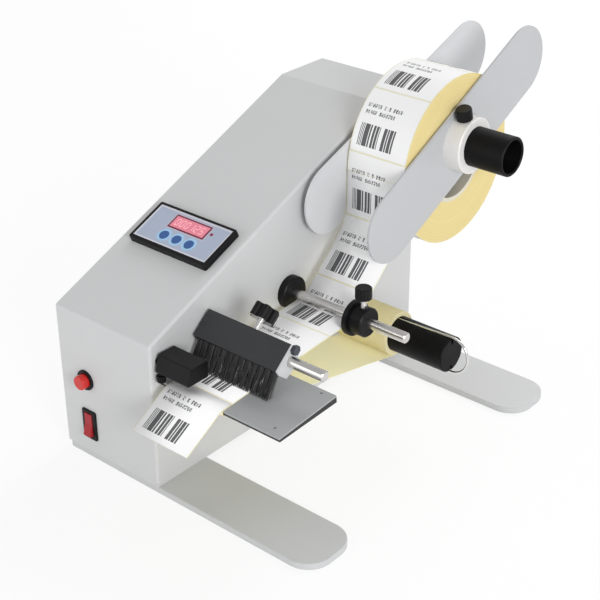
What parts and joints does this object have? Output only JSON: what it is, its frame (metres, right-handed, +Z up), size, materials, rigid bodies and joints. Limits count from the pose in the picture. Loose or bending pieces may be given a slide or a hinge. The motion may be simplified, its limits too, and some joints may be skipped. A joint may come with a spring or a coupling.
{
  "type": "label dispenser",
  "caption": "Bench label dispenser: sloped housing with counter, label reel between turning blades, web guide, brush, peel table, sensor and driven liner rewinder.",
  "frame": {"origin": "on the floor, under the outer face of the right wall, at the centre line of the front foot", "axes": "+X to the right, the way the rods stand out; +Y back along the housing; +Z up"},
  "size_m": [0.3026, 0.5115, 0.3398],
  "materials": {
    "housing_paint": "light grey satin paint",
    "foot_paint": "grey satin paint",
    "screw_steel": "zinc-plated steel",
    "rod_chrome": "bright ground steel",
    "dark_nut": "blackened steel",
    "bezel_black": "fine matt",
    "face_grey": "printed sheet, semi-gloss",
    "window_red": "red clear plastic",
    "key_blue": "soft touch",
    "button_red": "moulded, glossy",
    "board_green": "lacquered board",
    "pillar_white": "moulded",
    "core_iron": "varnished iron",
    "motor_zinc": "zinc-plated case",
    "bracket_steel": "bent sheet",
    "bearing_black": "turned plastic",
    "roller_black": "black anodised",
    "liner_yellow": "glassine paper",
    "tube_black": "black anodised",
    "hub_white": "white nylon",
    "blade_grey": "satin sheet",
    "knob_black": "moulded, fine matt",
    "core_card": "pale card",
    "label_white": "coated paper",
    "table_black": "black anodised",
    "table_grey": "grey satin paint",
    "brush_grey": "dark grey paint",
    "brush_back": "plain",
    "bristle_black": "nylon bristles",
    "sensor_black": "fine matt"
  },
  "bodies": {
    "housing": {"housing_shell": "housing_paint", "left_cover": "housing_paint", "base_plate": "housing_paint", "cover_screws": "screw_steel", "front_foot": "foot_paint", "rear_foot": "foot_paint", "foot_screws": "screw_steel", "counter_bezel": "bezel_black", "counter_body": "bezel_black", "counter_face": "face_grey", "display_window": "window_red", "reset_body": "bezel_black", "reset_nut": "bezel_black", "rocker_frame": "bezel_black", "power_inlet": "bezel_black", "control_board": "board_green", "board_pillars": "pillar_white", "transformer": "core_iron", "gearmotor": "motor_zinc", "motor_bracket": "bracket_steel", "rewind_bearing": "bearing_black", "liner_web": "liner_yellow", "spindle_axle": "rod_chrome", "axle_nuts": "screw_steel", "label_web": "label_white", "dispensed_label": "label_white", "guide_rod": "rod_chrome", "inner_collar": "knob_black", "wall_nuts": "screw_steel", "table_base": "table_black", "peel_plate": "table_grey", "table_screws": "screw_steel", "brush_rod": "rod_chrome"},
    "key_left": {"key_left": "key_blue"},
    "key_middle": {"key_middle": "key_blue"},
    "key_right": {"key_right": "key_blue"},
    "reset_cap": {"reset_cap": "button_red"},
    "power_rocker": {"power_rocker": "button_red"},
    "reel": {"reel_tube": "tube_black", "inner_hub": "hub_white", "inner_blade": "blade_grey", "reel_bush": "hub_white"},
    "outer_flange": {"outer_hub": "hub_white", "outer_blade": "blade_grey"},
    "hub_knob": {"hub_knob": "knob_black"},
    "roll": {"label_core": "core_card", "label_roll": "label_white"},
    "guide_collar": {"outer_collar": "knob_black"},
    "collar_knob": {"collar_knob": "knob_black"},
    "brush": {"brush_holder": "brush_grey", "brush_back": "brush_back", "bristles": "bristle_black", "brush_tie_bolt": "dark_nut"},
    "brush_knob": {"brush_knob": "knob_black"},
    "sensor": {"sensor_block": "sensor_black"},
    "sensor_knob": {"sensor_knob": "knob_black"},
    "rewinder": {"rewind_shaft": "rod_chrome", "rewind_roller": "roller_black", "wound_liner": "liner_yellow"},
    "wire_clip": {"wire_clip": "rod_chrome"}
  },
  "joints": [
    {"name": "reel_spin", "type": "hinge", "parent": "housing", "child": "reel", "pos_m": [0, 0.304, 0.254], "axis": [1, 0, 0], "continuous": true},
    {"name": "outer_flange_slide", "type": "slide", "parent": "reel", "child": "outer_flange", "axis": [1, 0, 0], "range_m": [0, 0.038]},
    {"name": "hub_knob_turn", "type": "hinge", "parent": "outer_flange", "child": "hub_knob", "pos_m": [0.08825, 0.304, 0.254], "axis": [0, -0.2588, 0.9659], "range_deg": [-360, 0]},
    {"name": "roll_spin", "type": "hinge", "parent": "housing", "child": "roll", "pos_m": [0, 0.304, 0.2353], "axis": [1, 0, 0], "continuous": true},
    {"name": "guide_collar_slide", "type": "slide", "parent": "housing", "child": "guide_collar", "axis": [1, 0, 0], "range_m": [0, 0.038]},
    {"name": "collar_knob_turn", "type": "hinge", "parent": "guide_collar", "child": "collar_knob", "pos_m": [0.08875, 0.149, 0.132], "axis": [0, 0, 1], "range_deg": [-360, 0]},
    {"name": "brush_lift", "type": "hinge", "parent": "housing", "child": "brush", "pos_m": [0, 0.0365, 0.1457], "axis": [1, 0, 0], "range_deg": [-50, 0]},
    {"name": "brush_knob_turn", "type": "hinge", "parent": "brush", "child": "brush_knob", "pos_m": [0.0515, 0.0365, 0.1457], "axis": [0, 0.7604, 0.6494], "range_deg": [-360, 0]},
    {"name": "sensor_slide", "type": "slide", "parent": "housing", "child": "sensor", "axis": [0, 1, 0], "range_m": [-0.014, 0]},
    {"name": "sensor_knob_turn", "type": "hinge", "parent": "sensor", "child": "sensor_knob", "pos_m": [0.0055, -0.024, 0.131], "axis": [0, 0, -1], "range_deg": [-360, 0]},
    {"name": "rewinder_spin", "type": "hinge", "parent": "housing", "child": "rewinder", "pos_m": [0, 0.221, 0.082], "axis": [1, 0, 0], "continuous": true},
    {"name": "wire_clip_slide", "type": "slide", "parent": "rewinder", "child": "wire_clip", "axis": [1, 0, 0], "range_m": [0, 0.1]},
    {"name": "reset_press", "type": "slide", "parent": "housing", "child": "reset_cap", "axis": [0, 1, 0], "range_m": [0, 0.002], "stiffness_N_per_m": 400, "springref_m": -0.003},
    {"name": "rocker_tilt", "type": "hinge", "parent": "housing", "child": "power_rocker", "pos_m": [-0.0865, -0.0295, 0.037], "axis": [1, 0, 0], "range_deg": [0, 16]},
    {"name": "key_left_press", "type": "slide", "parent": "housing", "child": "key_left", "axis": [0, 0.388, -0.9217], "range_m": [0, 0.0005], "stiffness_N_per_m": 800, "springref_m": -0.001},
    {"name": "key_middle_press", "type": "slide", "parent": "housing", "child": "key_middle", "axis": [0, 0.388, -0.9217], "range_m": [0, 0.0005], "stiffness_N_per_m": 800, "springref_m": -0.001},
    {"name": "key_right_press", "type": "slide", "parent": "housing", "child": "key_right", "axis": [0, 0.388, -0.9217], "range_m": [0, 0.0005], "stiffness_N_per_m": 800, "springref_m": -0.001}
  ],
  "couplings": [
    {"joint": "reel_spin", "follows": "roll_spin", "ratio": 2}
  ]
}
